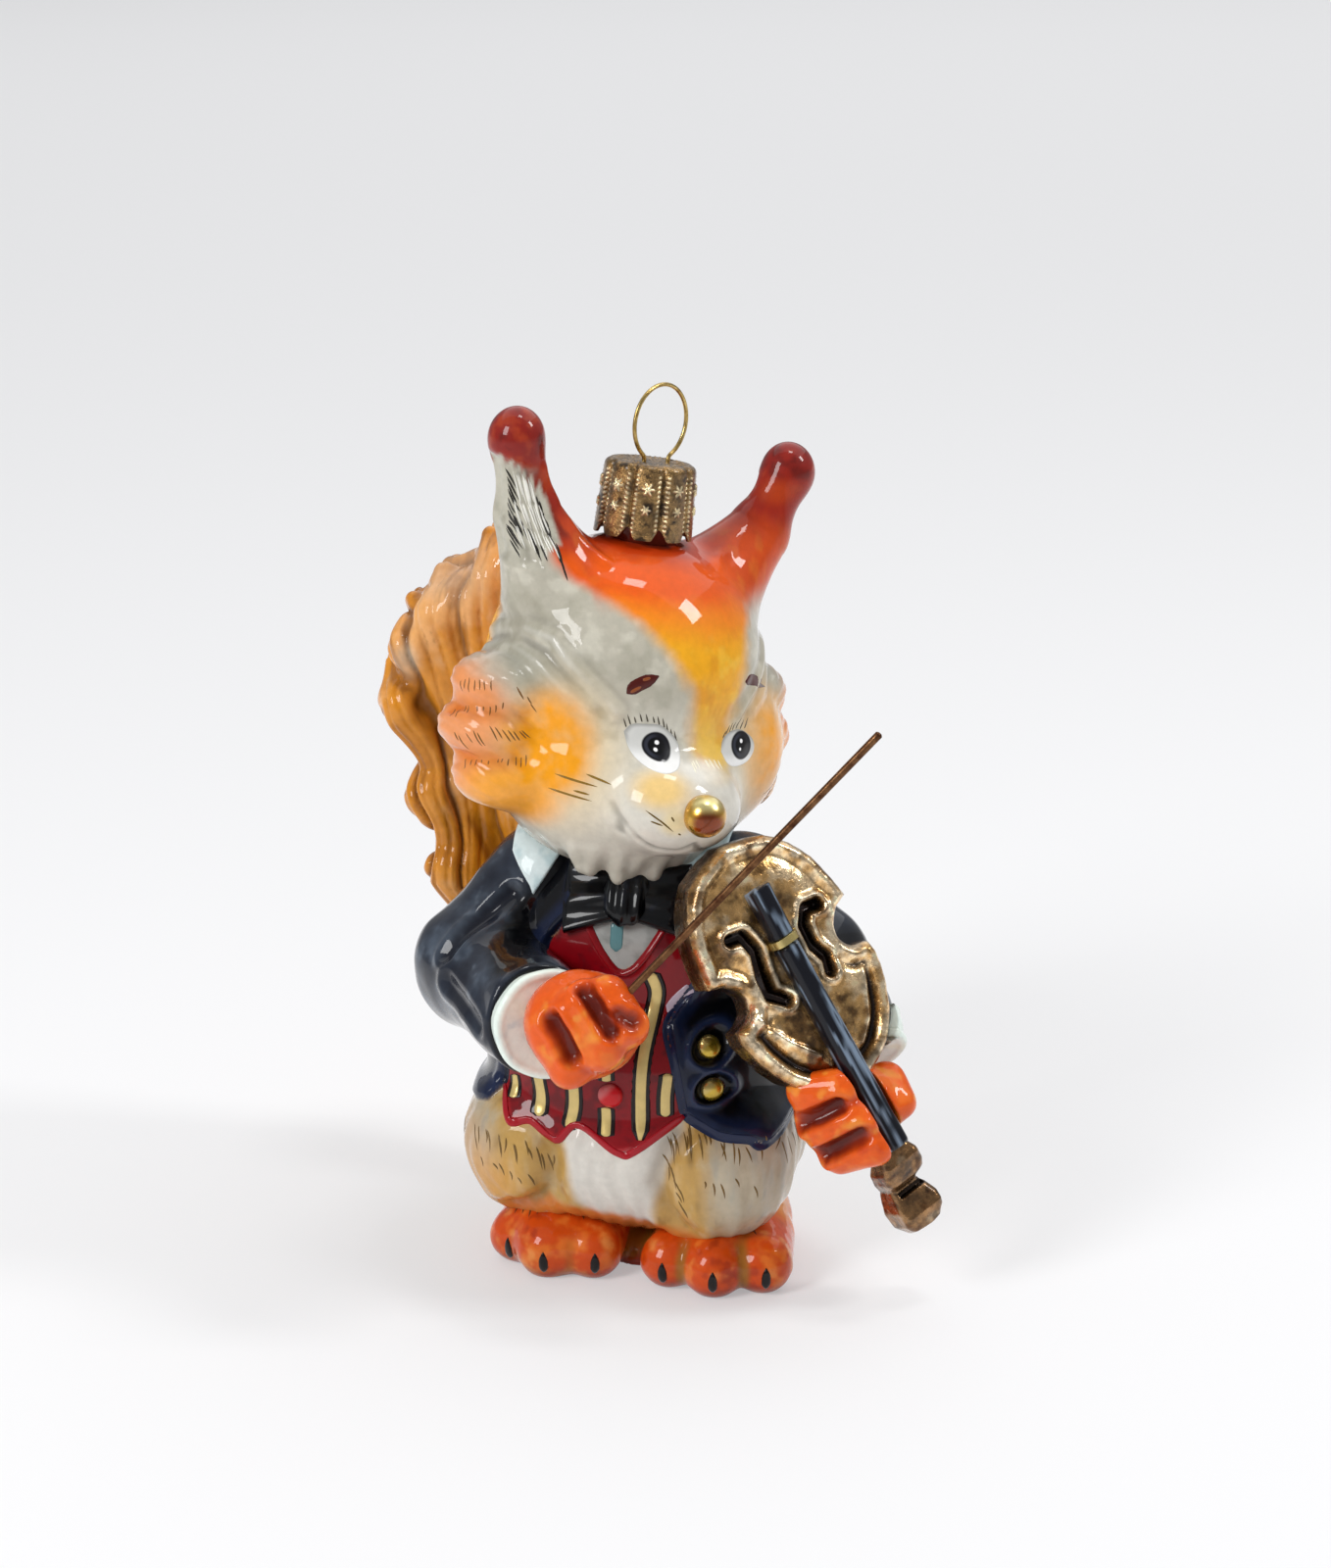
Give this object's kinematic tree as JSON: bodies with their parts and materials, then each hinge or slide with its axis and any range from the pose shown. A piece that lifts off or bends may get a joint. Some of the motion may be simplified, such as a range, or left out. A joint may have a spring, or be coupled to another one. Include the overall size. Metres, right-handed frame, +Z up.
{
  "type": "hanging glass ornament, squirrel violinist",
  "caption": "Blown-glass hanging ornament: a painted squirrel in a tailcoat plays the violin, with a pleated metal cap on its neck and a sprung wire ring to hang it by.",
  "frame": {"origin": "on the floor where the two feet meet, under the middle of the figure", "axes": "+Z up along the figure, -Y towards where its chest faces, +X towards the figure's left hand"},
  "size_m": [0.0852, 0.07, 0.1169],
  "materials": {
    "warm_grey_glass": "hand-painted lacquer, high gloss",
    "red_glass": "hand-painted lacquer, high gloss",
    "gold_glass": "hand-painted lacquer, high gloss",
    "white_glass": "hand-painted lacquer, high gloss",
    "antique_gold_glass": "hand-painted lacquer, high gloss",
    "black_glass": "hand-painted lacquer, high gloss",
    "navy_glass": "hand-painted lacquer, high gloss",
    "pale_blue_glass": "hand-painted lacquer, high gloss",
    "orange_glass": "hand-painted lacquer, high gloss",
    "ochre_glass": "hand-painted lacquer, high gloss",
    "brass_wire": "darkened wire",
    "stamped_brass": "antique gold plate, stamped relief",
    "sprung_wire": "bright sprung wire"
  },
  "bodies": {
    "figure": {"head": "warm_grey_glass", "right_ear": "red_glass", "left_ear": "red_glass", "nose": "gold_glass", "right_eye": "white_glass", "left_eye": "white_glass", "violin_body": "antique_gold_glass", "tailpiece": "black_glass", "bridge": "gold_glass", "fingerboard": "black_glass", "violin_scroll": "antique_gold_glass", "bow": "brass_wire", "right_sleeve": "navy_glass", "right_cuff": "pale_blue_glass", "right_paw": "orange_glass", "left_sleeve": "navy_glass", "left_cuff": "pale_blue_glass", "left_paw": "orange_glass", "right_foot": "orange_glass", "left_foot": "orange_glass", "tail": "orange_glass", "coat": "navy_glass", "waistcoat": "red_glass", "shirt_front": "white_glass", "belly": "ochre_glass", "coat_button_upper": "gold_glass", "coat_button_lower": "gold_glass", "waistcoat_button_upper": "red_glass", "waistcoat_button_lower": "red_glass", "right_collar_wing": "pale_blue_glass", "left_collar_wing": "pale_blue_glass", "bow_tie": "black_glass"},
    "cap": {"cap": "stamped_brass"},
    "hanger": {"hanger": "sprung_wire"}
  },
  "joints": [
    {"name": "cap_swivel", "type": "hinge", "parent": "figure", "child": "cap", "pos_m": [0.00055, 0.00321, 0.10205], "axis": [0.1042, 0.0922, 0.9903], "continuous": true},
    {"name": "hanger_lift", "type": "slide", "parent": "cap", "child": "hanger", "axis": [0.1042, 0.0922, 0.9903], "range_m": [0, 0.003]}
  ]
}
